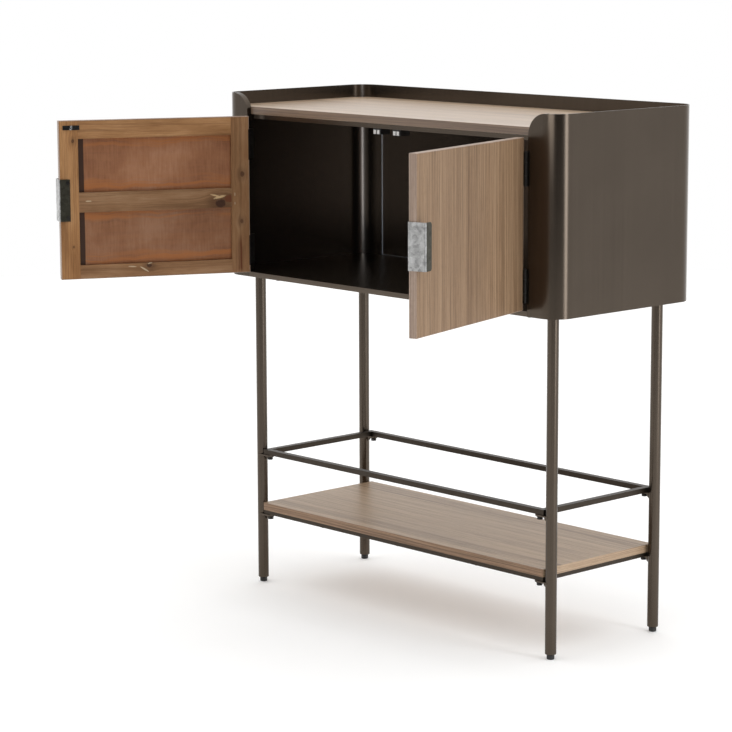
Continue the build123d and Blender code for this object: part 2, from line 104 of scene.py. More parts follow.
# ---- node graphs
class Finish:
    """A material, with short calls that add its nodes and return their outputs."""

    def __init__(self, name):
        self.material = bpy.data.materials.new(name)
        self.material.use_nodes = True
        self.tree = self.material.node_tree
        self.tree.nodes.clear()
        self.place = self.add("TexCoord").outputs["Object"]

    def add(self, kind, inputs=None, **settings):
        """A node of that kind; inputs maps socket names or numbers to a value or to another node's output."""
        node = self.tree.nodes.new("ShaderNode" + kind)
        for key, value in settings.items():
            setattr(node, key, value)
        for key, value in (inputs or {}).items():
            self.feed(node.inputs[key], value)
        return node

    def feed(self, socket, value):
        """Links an output to a socket, or sets the socket's own value."""
        if isinstance(value, bpy.types.NodeSocket):
            self.tree.links.new(value, socket)
        else:
            socket.default_value = value

    def stretched(self, vector, scale, location=(0, 0, 0), turn=0.0):
        """A vector turned about Z, scaled along each axis and shifted."""
        turned = self.add("Mapping", {"Vector": vector, "Rotation": (0, 0, turn), "Location": location})
        return self.add("Mapping", {"Vector": turned.outputs[0], "Scale": scale}).outputs[0]

    def noise(self, vector, scale=1.0, detail=4.0, roughness=0.5, distortion=0.0):
        """Noise value from 0 to 1."""
        inputs = {"Vector": vector, "Scale": scale, "Detail": detail}
        inputs.update({"Roughness": roughness, "Distortion": distortion})
        return self.add("TexNoise", inputs).outputs[0]

    def cells(self, vector, scale, feature="F1", output="Distance"):
        """Voronoi cells."""
        return self.add("TexVoronoi", {"Vector": vector, "Scale": scale}, feature=feature).outputs[output]

    def math(self, operation, first, second=0.0, third=0.0, clamp=False):
        """One step of arithmetic."""
        inputs = {0: first, 1: second, 2: third}
        return self.add("Math", inputs, operation=operation, use_clamp=clamp).outputs[0]

    def remap(self, value, low_in, high_in, low_out=0.0, high_out=1.0, smooth=True):
        """A value carried from one range to another, held at the ends."""
        inputs = {"Value": value, "From Min": low_in, "From Max": high_in}
        inputs.update({"To Min": low_out, "To Max": high_out})
        kind = "SMOOTHSTEP" if smooth else "LINEAR"
        return self.add("MapRange", inputs, interpolation_type=kind, clamp=True).outputs[0]

    def ramp(self, value, stops):
        """Colours along a value: stops is a list of (position, colour)."""
        node = self.add("ValToRGB", {"Fac": value})
        band = node.color_ramp
        while len(band.elements) < len(stops):
            band.elements.new(0.5)
        for element, (position, colour) in zip(band.elements, stops):
            element.position = position
            element.color = (*colour, 1.0)
        return node.outputs["Color"]

    def blend(self, amount, first, second, kind="MIX"):
        """Mix of two colours."""
        node = self.add("Mix", data_type="RGBA", blend_type=kind)
        self.feed(node.inputs["Factor"], amount)
        self.feed(node.inputs[6], first if not isinstance(first, tuple) else (*first, 1.0))
        self.feed(node.inputs[7], second if not isinstance(second, tuple) else (*second, 1.0))
        return node.outputs[2]

    def parts(self, vector):
        """The three components of a vector."""
        return self.add("SeparateXYZ", {0: vector}).outputs

    def joined(self, x, y, z):
        """A vector from three values."""
        return self.add("CombineXYZ", {0: x, 1: y, 2: z}).outputs[0]

    def bump(self, height, distance, normal=None):
        """Relief whose height from 0 to 1 stands for the distance in metres."""
        inputs = {"Height": height, "Distance": distance, "Strength": 1.0}
        if normal is not None:
            inputs["Normal"] = normal
        return self.add("Bump", inputs).outputs[0]

    def surface(self, **sockets):
        """Principled surface; underscores in socket names stand for spaces."""
        inputs = {}
        for key, value in sockets.items():
            inputs[key.replace("_", " ")] = (*value, 1.0) if isinstance(value, tuple) else value
        shader = self.add("BsdfPrincipled", inputs)
        out = self.add("OutputMaterial", {"Surface": shader.outputs[0]})
        out.is_active_output = True
        return self.material


# ---- metal finishes
def door_axes(f, side):
    """Coordinates on the closed door: X runs from the hinge pin to the free edge, whichever the hand."""
    shift, turn = to_door(side)
    closed = f.add("Mapping", {"Vector": f.place, "Rotation": (0, 0, turn), "Location": shift}).outputs[0]
    if side == "left":
        return closed
    return f.add("Mapping", {"Vector": closed, "Scale": (-1.0, 1.0, 1.0)}).outputs[0]


def bronze_metal(name, along=(420.0, 420.0, 0.8), tone=1.0, gloss=0.235, window=None):
    """Bronze-grey coated metal: fine brushed streaks along one axis, faint clouds, small rubbed specks.

    window is the half width, foot and head of a cut-out whose cut edges are painted pale and less metallic, a
    painted highlight for the light line they show.
    """
    f = Finish(name)
    streaks = f.noise(f.stretched(f.place, along), 1.0, 3.0, 0.55)
    clouds = f.noise(f.place, 6.0, 4.0, 0.55)
    specks = f.remap(f.noise(f.place, 380.0, 2.0, 0.5), 0.70, 0.78)
    shade = f.math("MULTIPLY_ADD", streaks, 0.6, f.math("MULTIPLY", clouds, 0.4))
    dark = tuple(tone * c for c in (0.0765, 0.0606, 0.0468))
    pale = tuple(tone * c for c in (0.0980, 0.0779, 0.0607))
    colour = f.ramp(shade, [(0.32, dark), (0.68, pale)])
    colour = f.blend(f.math("MULTIPLY", specks, 0.25), colour, (0.16, 0.14, 0.115))
    uneven = f.math("MULTIPLY_ADD", streaks, 0.5, f.math("MULTIPLY", clouds, 0.5))
    rough = f.remap(uneven, 0.3, 0.7, gloss, gloss + 0.02)
    metallic = 0.95
    if window:
        # Painted highlight: the window's cut edges are made pale and less metallic so that they show as a light
        # line.
        x, y, z = f.parts(f.place)
        half_width, foot, head = window
        near, far = 0.0002, 0.0004
        inside = f.remap(f.math("ABSOLUTE", x), half_width + near, half_width + far, 1.0, 0.0)
        below = f.remap(z, head + near, head + far, 1.0, 0.0)
        level = f.math("MULTIPLY", f.remap(z, foot - far, foot - near), below)
        flange = f.remap(y, FLANGE_FRONT - 0.0001, FLANGE_FRONT + 0.0001)
        painted_edge_highlight = f.math("MULTIPLY", f.math("MULTIPLY", inside, level), flange)
        colour = f.blend(painted_edge_highlight, colour, (0.78, 0.79, 0.80))
        metallic = f.remap(painted_edge_highlight, 0.0, 1.0, 0.95, 0.20, smooth=False)
    return f.surface(Base_Color=colour, Metallic=metallic, Roughness=rough)


def galvanised_metal(name, side):
    """Zinc spangle on the grip's face, soft dark blooms and scratches; its two legs get a greenish black copy of
    the zinc, painted shade for the dark reflections they show.
    """
    f = Finish(name)
    reach = f.parts(door_axes(f, side))[0]
    web = f.remap(reach, DOOR_REACH - 0.0008, DOOR_REACH + 0.0004)
    warped = f.add("Mix", {"Factor": 0.02}, data_type="VECTOR")
    f.feed(warped.inputs[4], f.place)
    wobble = f.add("TexNoise", {"Vector": f.place, "Scale": 60.0, "Detail": 3.0})
    f.feed(warped.inputs[5], wobble.outputs["Color"])
    cell = f.parts(f.cells(warped.outputs[1], 150.0, output="Color"))[0]
    bloom = f.noise(f.place, 70.0, 5.0, 0.65, 0.8)
    grain = f.noise(f.place, 700.0, 3.0, 0.6)
    scratch = f.noise(f.stretched(f.place, (3000.0, 3000.0, 25.0)), 1.0, 2.0, 0.4)
    shade = f.math("MULTIPLY_ADD", bloom, 0.66, f.math("MULTIPLY", grain, 0.12))
    shade = f.math("MULTIPLY_ADD", cell, 0.22, shade)
    spangle = [(0.34, (0.29, 0.29, 0.288)), (0.50, (0.45, 0.45, 0.447)), (0.68, (0.58, 0.58, 0.577))]
    bright_zinc = f.ramp(shade, spangle)
    # Painted shade: the legs are the same zinc as the face, given a dark copy that stands for the dark reflections
    # they show.
    shaded_zinc_painted = f.ramp(shade, [(0.34, (0.040, 0.038, 0.029)), (0.68, (0.066, 0.063, 0.048))])
    colour = f.blend(web, shaded_zinc_painted, bright_zinc)
    rough = f.remap(bloom, 0.3, 0.7, 0.50, 0.36)
    normal = f.bump(scratch, 0.00001, f.bump(bloom, 0.00005))
    return f.surface(Base_Color=colour, Metallic=0.9, Roughness=rough, Normal=normal)


def black_metal(name):
    """Blackened steel: nearly black, with worn paler specks and a fine uneven sheen."""
    f = Finish(name)
    wear = f.noise(f.place, 220.0, 5.0, 0.6)
    stops = [(0.35, (0.010, 0.009, 0.008)), (0.62, (0.022, 0.020, 0.018)), (0.80, (0.060, 0.055, 0.050))]
    colour = f.ramp(wear, stops)
    rough = f.remap(wear, 0.3, 0.7, 0.34, 0.55)
    normal = f.bump(wear, 0.00004)
    return f.surface(Base_Color=colour, Metallic=0.5, Roughness=rough, Normal=normal)


def strike_metal(name, side):
    """Blackened strike plate whose middle is rubbed bright where the magnet meets it."""
    f = Finish(name)
    x, y, z = f.parts(door_axes(f, side))
    wear = f.noise(f.place, 260.0, 5.0, 0.6)
    aside = f.math("ABSOLUTE", f.math("SUBTRACT", x, STRIKE_MIDDLE))
    rubbed = f.remap(f.math("MULTIPLY_ADD", wear, 0.004, aside), 0.0040, 0.0052, 1.0, 0.0)
    black = f.ramp(wear, [(0.35, (0.010, 0.010, 0.010)), (0.65, (0.028, 0.027, 0.026))])
    colour = f.blend(f.math("MULTIPLY", rubbed, f.remap(wear, 0.40, 0.52)), black, (0.55, 0.55, 0.54))
    rough = f.remap(wear, 0.3, 0.7, 0.3, 0.5)
    return f.surface(Base_Color=colour, Metallic=0.7, Roughness=rough, Normal=f.bump(wear, 0.00003))


def bright_metal(name):
    """Bare ground steel of the catch poles: fine lines across, light stain."""
    f = Finish(name)
    lines = f.noise(f.stretched(f.place, (60.0, 60.0, 2500.0)), 1.0, 3.0, 0.5)
    stain = f.noise(f.place, 260.0, 4.0, 0.5)
    colour = f.ramp(stain, [(0.30, (0.52, 0.51, 0.49)), (0.70, (0.80, 0.80, 0.79))])
    rough = f.remap(lines, 0.3, 0.7, 0.22, 0.36)
    return f.surface(Base_Color=colour, Metallic=1.0, Roughness=rough, Normal=f.bump(lines, 0.00001))


def black_plastic(name):
    """Moulded black plastic with a fine spark-eroded grain and slight greying."""
    f = Finish(name)
    grain = f.noise(f.place, 1600.0, 2.0, 0.6)
    tone = f.noise(f.place, 90.0, 3.0, 0.5)
    colour = f.ramp(tone, [(0.30, (0.012, 0.012, 0.012)), (0.75, (0.030, 0.029, 0.028))])
    rough = f.remap(tone, 0.3, 0.7, 0.48, 0.62)
    return f.surface(Base_Color=colour, Roughness=rough, Normal=f.bump(grain, 0.00003))


# ---- wood finishes
CREAM = (0.56, 0.44, 0.29)
STRAW = (0.600, 0.420, 0.220)
RUST = (0.150, 0.048, 0.018)


def wood_axes(f, side, grain):
    """Coordinates in metres with Z along the grain; on a door, measured from the pin of the closed door."""
    x, y, z = f.parts(door_axes(f, side) if side else f.place)
    return (x, y, z) if grain == "Z" else (z, y, x)


def lacquered_veneer(name, stops, side="", grain="Z", seed=0.0, gloss=0.30, sheen=0.5, front=None,
                     half_length=9.0, leaf=0.16):
    """Straight-cut veneer in leaves: bands wander slowly along the grain, with dark lines, fibres, pores.

    front, where given, is the Y below which the edge strip starts and how much darker the strip is; the darkening
    is partly the edge's own darker tone and partly painted shade for the weaker light on the front-facing edge.
    Past half the board's length lie the end strips, whose grain runs along Y; a door has none, so its half length
    is out of reach. leaf is the width of one leaf of veneer.
    """
    f = Finish(name)
    x, y, z = wood_axes(f, side, grain)
    end = f.remap(f.math("ABSOLUTE", z), half_length - 0.0005, half_length - 0.0002)
    across = f.math("ADD", x, f.math("MULTIPLY", y, f.remap(end, 0.0, 1.0, 0.8, 0.0, smooth=False)))
    z = f.math("ADD", f.math("MULTIPLY", z, f.math("SUBTRACT", 1.0, end)), f.math("MULTIPLY", y, end))
    leaf_number = f.math("FLOOR", f.math("DIVIDE", f.math("ADD", across, 2.0 + seed), leaf))
    own = f.add("TexWhiteNoise", {"W": leaf_number}, noise_dimensions="1D").outputs["Value"]
    drift_place = f.joined(f.math("MULTIPLY", across, 7.0), own, f.math("MULTIPLY", z, 1.1))
    drift = f.noise(drift_place, 1.0, 2.0, 0.5)
    bent = f.math("MULTIPLY_ADD", drift, 0.030, across)

    def figure(per_metre, along, detail, roughness=0.6, seat=bent):
        place = f.joined(f.math("MULTIPLY", seat, per_metre), f.math("MULTIPLY_ADD", own, 9.0, seed),
                         f.math("MULTIPLY", z, along))
        return f.noise(place, 1.0, detail, roughness)

    bands = figure(48.0, 0.5, 2.0)
    lines = figure(430.0, 2.2, 4.0, 0.66)
    dark_line = f.remap(figure(560.0, 2.4, 2.0), 0.56, 0.68)
    fibres = figure(1500.0, 22.0, 4.0, 0.7, across)
    pore = f.remap(figure(1900.0, 80.0, 2.0, 0.5), 0.60, 0.70)
    tone = f.math("MULTIPLY_ADD", bands, 0.16, f.math("MULTIPLY", lines, 0.48))
    tone = f.math("ADD", f.math("MULTIPLY_ADD", fibres, 0.28, tone), f.math("MULTIPLY", own, 0.05))
    colour = f.ramp(tone, stops)
    colour = f.blend(f.math("MULTIPLY", dark_line, 0.60), colour, tuple(0.50 * c for c in stops[0][1]))
    colour = f.blend(f.math("MULTIPLY", pore, 0.40), colour, tuple(0.42 * c for c in stops[0][1]))
    # Partly painted shade: the front edge strip is darkened for the weaker light falling on it, and partly for its
    # own darker tone.
    if front:
        strip = f.remap(f.parts(f.place)[1], front[0] - 0.0003, front[0] + 0.0003, 1.0, 0.0)
        colour = f.blend(strip, colour, (front[1], 0.86 * front[1], 0.76 * front[1]), "MULTIPLY")
    rough = f.remap(lines, 0.2, 0.8, gloss, gloss + 0.12)
    relief = f.math("MULTIPLY_ADD", pore, -0.7, f.math("MULTIPLY", fibres, 0.5))
    return f.surface(Base_Color=colour, Roughness=rough, Normal=f.bump(relief, 0.00003),
                     Specular_IOR_Level=sheen)


def spot(f, flat, centre, half_length, half_width, turn=0.0):
    """1 inside a small ellipse on the door's inner face, 0 outside it, with a ragged edge."""
    moved = f.add("Mapping", {"Vector": flat, "Location": (-centre[0], 0.0, -centre[1])}).outputs[0]
    turned = f.add("Mapping", {"Vector": moved, "Rotation": (0.0, math.radians(turn), 0.0)}).outputs[0]
    shaped = f.add("Mapping", {"Vector": turned, "Scale": (1 / half_length, 0.0, 1 / half_width)}).outputs[0]
    far = f.add("VectorMath", {0: shaped}, operation="LENGTH").outputs["Value"]
    ragged = f.math("MULTIPLY_ADD", f.noise(flat, 420.0, 3.0, 0.6), 0.9, far)
    return f.remap(ragged, 1.15, 1.55, 1.0, 0.0)


def knotty_pine(name, side, grain, tone, seed, knots, chips=(), streak=None):
    """Sawn pine: growth lines along the grain that flow round each knot, dark ringed knots, torn chips.

    Knots are (from the hinge edge, above the door's bottom, radius, darkness). Chips are (from the hinge
    edge, above the bottom, half length, half width, turn, colour). streak is a resin streak (from the hinge
    edge, low, high, half width).
    """
    f = Finish(name)
    x, y, z = wood_axes(f, side, "Z")
    z = f.math("SUBTRACT", z, DOOR_BOTTOM)
    flat = f.joined(x, 0.0, z)
    length, width = (x, z) if grain == "X" else (z, x)
    bend_place = f.joined(f.math("MULTIPLY", width, 12.0), seed, f.math("MULTIPLY", length, 4.5))
    bend = f.noise(bend_place, 1.0, 3.0, 0.5)
    width = f.math("MULTIPLY_ADD", bend, 0.016, width)
    mask = 0.0
    rings = 0.0
    for knot_x, knot_z, radius, strength in knots:
        squeeze = (0.75, 1.0, 1.0) if grain == "X" else (1.0, 1.0, 0.75)
        offset = f.add("VectorMath", {0: flat, 1: (knot_x, 0.0, knot_z)}, operation="SUBTRACT").outputs[0]
        scaled = f.add("VectorMath", {0: offset, 1: squeeze}, operation="MULTIPLY").outputs[0]
        length_out = f.add("VectorMath", {0: scaled}, operation="LENGTH").outputs["Value"]
        far = f.math("MULTIPLY_ADD", f.noise(flat, 160.0, 3.0, 0.5), 0.5 * radius, length_out)
        part = f.parts(offset)[2 if grain == "X" else 0]
        push = f.remap(far, 0.2 * radius, 4.0 * radius, 1.0, 0.0)
        width = f.math("MULTIPLY_ADD", f.math("MULTIPLY", part, push), -0.75, width)
        core = f.remap(far, 0.75 * radius, 1.20 * radius, strength, 0.0)
        halo = f.remap(far, 0.9 * radius, 2.8 * radius, 0.40 * strength, 0.0)
        mask = f.math("MAXIMUM", mask, f.math("MAXIMUM", core, halo))
        ripple = f.math("SINE", f.math("MULTIPLY", far, 2800.0))
        rings = f.math("ADD", rings, f.math("MULTIPLY", core, ripple))

    def figure(per_metre, along, detail, roughness=0.6):
        place = f.joined(f.math("MULTIPLY", width, per_metre), seed, f.math("MULTIPLY", length, along))
        return f.noise(place, 1.0, detail, roughness)

    lines = figure(230.0, 2.4, 3.0, 0.55)
    latewood = f.remap(lines, 0.46, 0.62)
    fibres = figure(1500.0, 30.0, 4.0, 0.7)
    cloud = figure(26.0, 6.0, 4.0, 0.6)
    fleck = f.remap(figure(380.0, 70.0, 3.0, 0.6), 0.66, 0.76)
    shade = f.math("MULTIPLY_ADD", cloud, 0.60, f.math("MULTIPLY", fibres, 0.40))
    # tone holds the board's own tone together with painted shade for where it stands on the door.
    colour = f.ramp(shade, tinted(PINE_TONES, tone))
    colour = f.blend(f.math("MULTIPLY", latewood, 0.38), colour, (0.120, 0.050, 0.016))
    if streak:
        middle, foot, head, half = streak
        beside = f.remap(f.math("ABSOLUTE", f.math("SUBTRACT", x, middle)), 0.2 * half, half, 1.0, 0.0)
        below = f.remap(z, head - 0.03, head, 1.0, 0.0)
        within = f.math("MULTIPLY", f.remap(z, foot, foot + 0.01), below)
        amount = f.math("MULTIPLY", f.math("MULTIPLY", beside, within), f.remap(lines, 0.35, 0.6))
        colour = f.blend(amount, colour, (0.120, 0.034, 0.010))
    ringed = f.math("MULTIPLY_ADD", rings, 0.12, mask, clamp=True)
    colour = f.blend(ringed, colour, (0.050, 0.018, 0.008))
    colour = f.blend(f.math("MULTIPLY", fleck, 0.22), colour, (0.46, 0.33, 0.20))
    for chip_x, chip_z, half_length, half_width, turn, chip_colour in chips:
        colour = f.blend(spot(f, flat, (chip_x, chip_z), half_length, half_width, turn), colour, chip_colour)
    rough = f.remap(fibres, 0.2, 0.8, 0.50, 0.64)
    relief = f.math("MULTIPLY_ADD", fibres, 0.5, f.math("MULTIPLY", mask, -0.8))
    relief = f.math("MULTIPLY_ADD", latewood, 0.3, relief)
    normal = f.bump(relief, 0.00016)
    return f.surface(Base_Color=colour, Roughness=rough, Normal=normal, Specular_IOR_Level=0.28)


def red_plywood(name, side, tone, seed, flames):
    """Stained plywood: orange flames along given heights, upright sanding lines, cross pores, painted shadow band.

    Flames are (height above the door's bottom, half height). The painted shadow band lies beside the free stile, a
    dark band painted where the stile's shadow falls into the panel's recess.
    """
    f = Finish(name)
    x, y, z = wood_axes(f, side, "Z")
    z = f.math("SUBTRACT", z, DOOR_BOTTOM)

    def figure(along_x, along_z, detail=3.0, roughness=0.6, bent=z):
        place = f.joined(f.math("MULTIPLY", x, along_x), seed, f.math("MULTIPLY", bent, along_z))
        return f.noise(place, 1.0, detail, roughness)

    wander = figure(9.0, 6.0, 3.0)
    bent = f.math("MULTIPLY_ADD", wander, 0.030, z)
    flame = f.remap(figure(4.0, 130.0, 4.0, 0.62, bent), 0.38, 0.60)
    near = 0.0
    for height, half in flames:
        apart = f.math("ABSOLUTE", f.math("SUBTRACT", f.math("SUBTRACT", bent, 0.015), height))
        near = f.math("MAXIMUM", near, f.remap(apart, 0.2 * half, half, 1.0, 0.0))
    cloud = figure(8.0, 9.0, 4.0, 0.6)
    sanding = figure(260.0, 22.0, 4.0, 0.65)
    pores = f.remap(figure(150.0, 1400.0, 2.0), 0.60, 0.72)
    shade = f.math("MULTIPLY_ADD", cloud, 0.70, f.math("MULTIPLY", sanding, 0.30))
    colour = f.ramp(shade, tinted(PLYWOOD_TONES, tone))
    colour = f.blend(f.math("MULTIPLY", f.math("MULTIPLY", flame, near), 0.80), colour, (0.430, 0.150, 0.040))
    colour = f.blend(f.math("MULTIPLY", flame, 0.16), colour, (0.400, 0.165, 0.060))
    colour = f.blend(f.math("MULTIPLY", pores, 0.25), colour, (0.070, 0.024, 0.011))
    # Painted shadow: a dark band beside the free stile, where the stile's shadow falls on the recessed panel.
    ragged = f.math("ADD", x, f.math("MULTIPLY", wander, 0.0015))
    band = f.remap(ragged, FREE_STILE - 0.0117, FREE_STILE - 0.0104)
    colour = f.blend(f.math("MULTIPLY", band, 0.94), colour, (0.030, 0.012, 0.006))
    rough = f.remap(sanding, 0.2, 0.8, 0.48, 0.62)
    relief = f.math("MULTIPLY_ADD", sanding, 0.6, f.math("MULTIPLY", pores, -0.5))
    normal = f.bump(relief, 0.00008)
    return f.surface(Base_Color=colour, Roughness=rough, Normal=normal, Specular_IOR_Level=0.30)


def tinted(stops, tint):
    """Ramp stops whose colours are multiplied by a tint."""
    return [(place, tuple(t * c for t, c in zip(tint, colour))) for place, colour in stops]


# Colours from dark to light grain, each with its place on the grain's scale.
PINE_TONES = [(0.36, (0.240, 0.112, 0.040)), (0.50, (0.365, 0.186, 0.075)), (0.64, (0.490, 0.280, 0.130))]
PLYWOOD_TONES = [(0.38, (0.230, 0.092, 0.042)), (0.50, (0.325, 0.142, 0.068)), (0.62, (0.410, 0.205, 0.112))]
DOOR_TONES = [(0.41, (0.138, 0.078, 0.040)), (0.49, (0.246, 0.151, 0.084)), (0.57, (0.312, 0.204, 0.121))]
TOP_TONES = [(0.41, (0.330, 0.222, 0.140)), (0.50, (0.500, 0.362, 0.246)), (0.59, (0.630, 0.482, 0.350))]
SHELF_TONES = [(0.42, (0.230, 0.145, 0.082)), (0.50, (0.415, 0.284, 0.180)), (0.58, (0.520, 0.376, 0.250))]
EDGE_TONES = [(0.40, (0.235, 0.158, 0.116)), (0.50, (0.375, 0.268, 0.204)), (0.60, (0.490, 0.365, 0.290))]

# Per board of the door's frame: grain, tint, knots, chips and resin streak, measured as knotty_pine() says. The
# tints are partly each board's own tone and partly painted shade: darker at the hinge stile and the lower rails,
# lighter at the top rail and the free stile.
LEFT_BOARDS = {
    "free_stile": ("Z", (1.12, 1.08, 1.02), [(0.354, 0.271, 0.0045, 0.75), (0.356, 0.064, 0.002, 0.80)],
                   [(0.3385, 0.123, 0.004, 0.0008, 90, CREAM)], None),
    "hinge_stile": ("Z", (0.80, 0.80, 0.86), [(0.015, 0.197, 0.006, 0.80), (0.017, 0.103, 0.005, 0.75)],
                    [(0.0305, 0.157, 0.004, 0.0007, 90, CREAM), (0.0305, 0.139, 0.003, 0.0007, 90, CREAM)],
                    (0.020, 0.000, 0.085, 0.009)),
    "top_rail": ("X", (1.14, 1.14, 1.16), [], [], None),
    "middle_rail": ("X", (0.80, 0.84, 0.98), [(0.060, 0.140, 0.0115, 1.0)],
                    [(0.042, 0.149, 0.011, 0.0080, 0, RUST), (0.062, 0.1525, 0.013, 0.0026, -12, STRAW),
                     (0.071, 0.156, 0.010, 0.0017, 14, STRAW), (0.325, 0.153, 0.0065, 0.0013, 0, CREAM)],
                    None),
    "bottom_rail": ("X", (0.84, 0.86, 0.98), [(0.206, 0.022, 0.0060, 0.90)],
                    [(0.216, 0.015, 0.011, 0.0016, 32, CREAM), (0.203, 0.027, 0.007, 0.0013, -20, CREAM),
                     (0.240, 0.021, 0.009, 0.0011, 5, CREAM)], None),
}
RIGHT_BOARDS = {
    "free_stile": ("Z", (1.04, 1.02, 1.00), [(0.360, 0.118, 0.004, 0.65)], [], None),
    "hinge_stile": ("Z", (0.86, 0.86, 0.90), [(0.020, 0.246, 0.005, 0.70)], [], (0.016, 0.180, 0.300, 0.006)),
    "top_rail": ("X", (0.94, 0.95, 1.00), [(0.300, 0.292, 0.007, 0.75)],
                 [(0.290, 0.297, 0.005, 0.0009, 15, CREAM)], None),
    "middle_rail": ("X", (0.86, 0.88, 0.98), [(0.120, 0.148, 0.008, 0.80)],
                    [(0.131, 0.142, 0.008, 0.0011, -10, CREAM)], None),
    "bottom_rail": ("X", (0.90, 0.90, 0.98), [(0.180, 0.014, 0.005, 0.70)], [], None),
}


# ---- pieces
def add_piece(name, mesh, material, body):
    """Adds a finished mesh that rides on a body."""
    thing = bpy.data.objects.new(name, mesh)
    bpy.context.scene.collection.objects.link(thing)
    mesh.materials.clear()
    mesh.materials.append(material)
    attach(thing, body)
    return thing


def soften(name, arris, material, steps=2):
    """Stands for a CAD piece with the same faces and with its sharp arrises rounded to the arris."""
    shape = bmesh.new()
    shape.from_mesh(nodes[name].data)
    bmesh.ops.remove_doubles(shape, verts=shape.verts, dist=2e-6)
    bmesh.ops.dissolve_limit(shape, angle_limit=math.radians(0.2), verts=shape.verts, edges=shape.edges)
    for face in shape.faces:
        face.smooth = True
    mesh = bpy.data.meshes.new(name + "_finished")
    shape.to_mesh(mesh)
    shape.free()
    if "custom_normal" in mesh.attributes:
        mesh.attributes.remove(mesh.attributes["custom_normal"])
    thing = add_piece(name + "_finished", mesh, material, body_of[name])
    round_over = thing.modifiers.new("arris", "BEVEL")
    round_over.limit_method = "ANGLE"
    round_over.angle_limit = math.radians(40)
    round_over.width = arris
    round_over.segments = steps
    level = thing.modifiers.new("flat faces stay flat", "WEIGHTED_NORMAL")
    level.weight = 100
    level.keep_sharp = True
    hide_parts(name)
    return thing


# ---- studio
# Where the camera stands, in metres; its yaw, dip and roll, in degrees; and its focal length, in mm.
CAMERA_PLACE = (3.6393, -3.5875, 1.3392)
CAMERA_ANGLES = (47.283, 9.521, -0.212)
CAMERA_LENS = 129.93


def aim_camera():
    """Long lens at standing height, off the front right corner; the angles are the line of sight's."""
    yaw, pitch, roll = (math.radians(a) for a in CAMERA_ANGLES)
    ahead = Vector((-math.sin(yaw) * math.cos(pitch), math.cos(yaw) * math.cos(pitch), -math.sin(pitch)))
    level_right = Vector((math.cos(yaw), math.sin(yaw), 0.0))
    level_up = level_right.cross(ahead)
    right = math.cos(roll) * level_right + math.sin(roll) * level_up
    up = right.cross(ahead)
    data = bpy.data.cameras.new("camera")
    data.sensor_width = 36.0
    data.lens = CAMERA_LENS
    data.clip_end = 100.0
    camera = bpy.data.objects.new("camera", data)
    axes = Matrix((right, up, -ahead)).transposed().to_4x4()
    camera.matrix_world = Matrix.Translation(CAMERA_PLACE) @ axes
    bpy.context.scene.collection.objects.link(camera)
    bpy.context.scene.camera = camera


def softbox(name, place, bearing, size, radiance, tint=(1.0, 1.0, 1.0), only=()):
    """Upright lit panel whose foot is at the place; bearing is where it faces, in degrees from the front.

    only names the pieces that it lights, as a flag keeps a lamp's light off the rest.
    """
    data = bpy.data.lights.new(name, "AREA")
    data.shape = "RECTANGLE"
    data.size, data.size_y = size
    data.energy = radiance * math.pi * size[0] * size[1]
    data.color = tint
    lamp = bpy.data.objects.new(name, data)
    lamp.location = (place[0], place[1], place[2] + size[1] / 2)
    lamp.rotation_euler = (math.radians(90), 0.0, math.radians(bearing) + math.pi)
    lamp.visible_camera = False
    bpy.context.scene.collection.objects.link(lamp)
    if only:
        lit = bpy.data.collections.new(name + "_lights")
        for piece in only:
            lit.objects.link(bpy.data.objects[piece + "_finished"])
        lamp.light_linking.receiver_collection = lit


# Brightness of the surround by bearing, in degrees from the front toward the right.
SURROUND_LEVELS = [(-180, 1.35), (-135, 1.55), (-90, 1.0), (-50, 0.85), (0, 0.66),
                   (11, 0.02), (80, 0.02), (112, 0.88), (138, 1.0), (180, 1.35)]
# Sines of the heights above the horizon between which the wall dims to its limit and the dome takes over.
WALL_CLIMB = (0.11, 0.21)
WALL_LIMIT = (0.85, 0.85, 0.85)
DOME_CLIMB = (0.40, 0.90)
DOME_COLOUR = (1.40, 1.39, 1.37)


